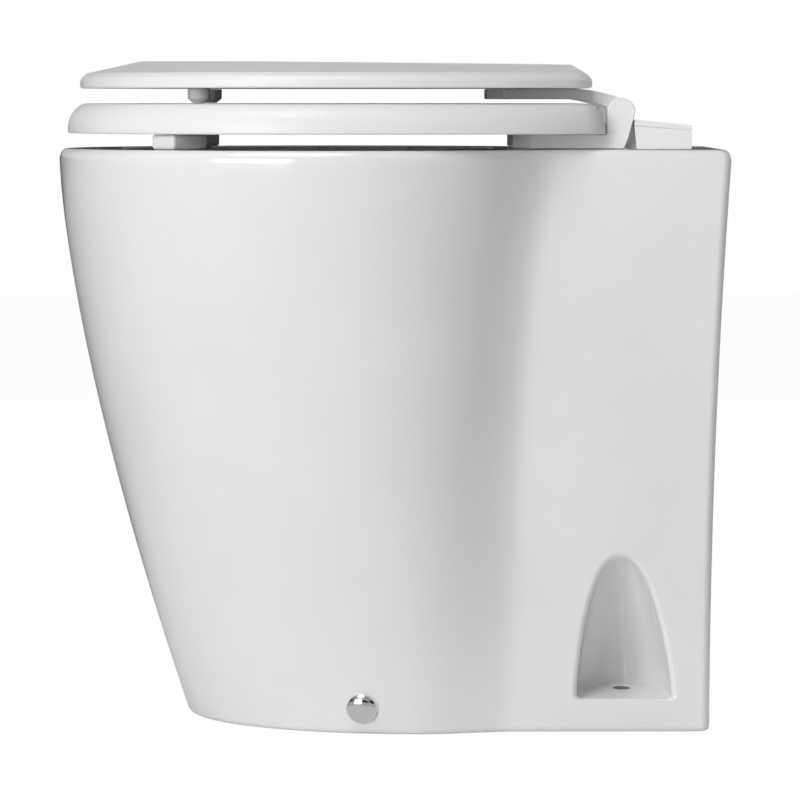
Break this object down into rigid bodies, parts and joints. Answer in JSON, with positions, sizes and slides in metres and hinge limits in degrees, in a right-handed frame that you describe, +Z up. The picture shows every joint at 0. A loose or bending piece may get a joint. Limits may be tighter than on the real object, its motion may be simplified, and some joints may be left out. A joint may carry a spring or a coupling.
{
  "type": "electric marine toilet",
  "caption": "Electric marine toilet: back-to-wall ceramic pan with hinged seat and lid, macerator pump, non-return flap and solenoid flush valve inside.",
  "frame": {"origin": "on the floor, under the middle of the pan's length and width", "axes": "+X to the side, +Y towards the wall behind, +Z up; the front faces -Y"},
  "size_m": [0.368, 0.501, 0.4948],
  "materials": {
    "glazed_ceramic": "glossy white glaze",
    "white_moulding": "white, satin to glossy",
    "hinge_plastic": "white, satin",
    "buffer_plastic": "pale grey, soft sheen",
    "chrome": "mirror bright",
    "stainless_steel": "fine brushed",
    "black_rubber": "dull black",
    "black_plastic": "black, moulded",
    "grey_pipe": "grey, moulded",
    "motor_paint": "dark satin paint",
    "motor_iron": "dark, dull",
    "copper": "varnished winding",
    "bracket_nylon": "off-white nylon"
  },
  "bodies": {
    "pan_body": {"pan": "glazed_ceramic", "hinge_block_left": "hinge_plastic", "hinge_block_right": "hinge_plastic", "hinge_cap_left": "hinge_plastic", "hinge_cap_right": "hinge_plastic", "wing_nut_left": "buffer_plastic", "wing_nut_right": "buffer_plastic", "cover_cap_left": "chrome", "cover_cap_right": "chrome", "hinge_pin_left": "stainless_steel", "hinge_pin_right": "stainless_steel", "hinge_bolt_left": "stainless_steel", "hinge_bolt_right": "stainless_steel", "side_screw_left": "stainless_steel", "side_screw_right": "stainless_steel", "chopper_plate": "stainless_steel", "front_bearing": "stainless_steel", "rear_bearing": "stainless_steel", "motor_strap": "stainless_steel", "flap_pin": "stainless_steel", "guide_tube": "stainless_steel", "coil_clip": "stainless_steel", "plunger_spring": "stainless_steel", "hinge_washer_left": "black_rubber", "hinge_washer_right": "black_rubber", "outlet_seal": "black_rubber", "shaft_seal": "black_rubber", "inlet_gasket": "black_rubber", "pump_cover": "black_plastic", "pump_housing": "black_plastic", "motor_end_cap": "black_plastic", "cable_gland": "black_plastic", "pump_base": "black_plastic", "valve_body": "black_plastic", "coil": "black_plastic", "inlet_elbow": "grey_pipe", "discharge_elbow": "grey_pipe", "flap_housing": "grey_pipe", "discharge_tail": "grey_pipe", "inlet_spud": "grey_pipe", "motor_can": "motor_paint", "magnet_ring": "motor_iron", "floor_bracket_left": "bracket_nylon", "floor_bracket_right": "bracket_nylon"},
    "seat_body": {"seat": "white_moulding", "seat_buffer_left": "buffer_plastic", "seat_buffer_right": "buffer_plastic", "seat_arm_left": "hinge_plastic", "seat_arm_right": "hinge_plastic"},
    "lid_body": {"lid": "white_moulding", "lid_buffer_left": "buffer_plastic", "lid_buffer_right": "buffer_plastic", "lid_arm_left": "hinge_plastic", "lid_arm_right": "hinge_plastic"},
    "rotor_body": {"motor_shaft": "stainless_steel", "chopper_blade": "stainless_steel", "impeller": "black_plastic", "armature": "copper"},
    "plunger_body": {"plunger": "stainless_steel"},
    "flap_body": {"flap": "black_rubber"}
  },
  "joints": [
    {"name": "seat_hinge", "type": "hinge", "parent": "pan_body", "child": "seat_body", "pos_m": [0, 0.1705, 0.457], "axis": [1, 0, 0], "range_deg": [-96, 0]},
    {"name": "lid_hinge", "type": "hinge", "parent": "seat_body", "child": "lid_body", "pos_m": [0, 0.1705, 0.457], "axis": [-1, 0, 0], "range_deg": [0, 96]},
    {"name": "pump_rotor", "type": "hinge", "parent": "pan_body", "child": "rotor_body", "pos_m": [0, 0, 0.06], "axis": [0, 1, 0], "continuous": true},
    {"name": "valve_plunger", "type": "slide", "parent": "pan_body", "child": "plunger_body", "axis": [0, 0, -1], "range_m": [0, 0.004], "stiffness_N_per_m": 200, "springref_m": -0.005, "deforming": ["plunger_spring"]},
    {"name": "discharge_flap", "type": "hinge", "parent": "pan_body", "child": "flap_body", "pos_m": [0, 0.1381, 0.1735], "axis": [1, 0, 0], "range_deg": [0, 55]}
  ]
}
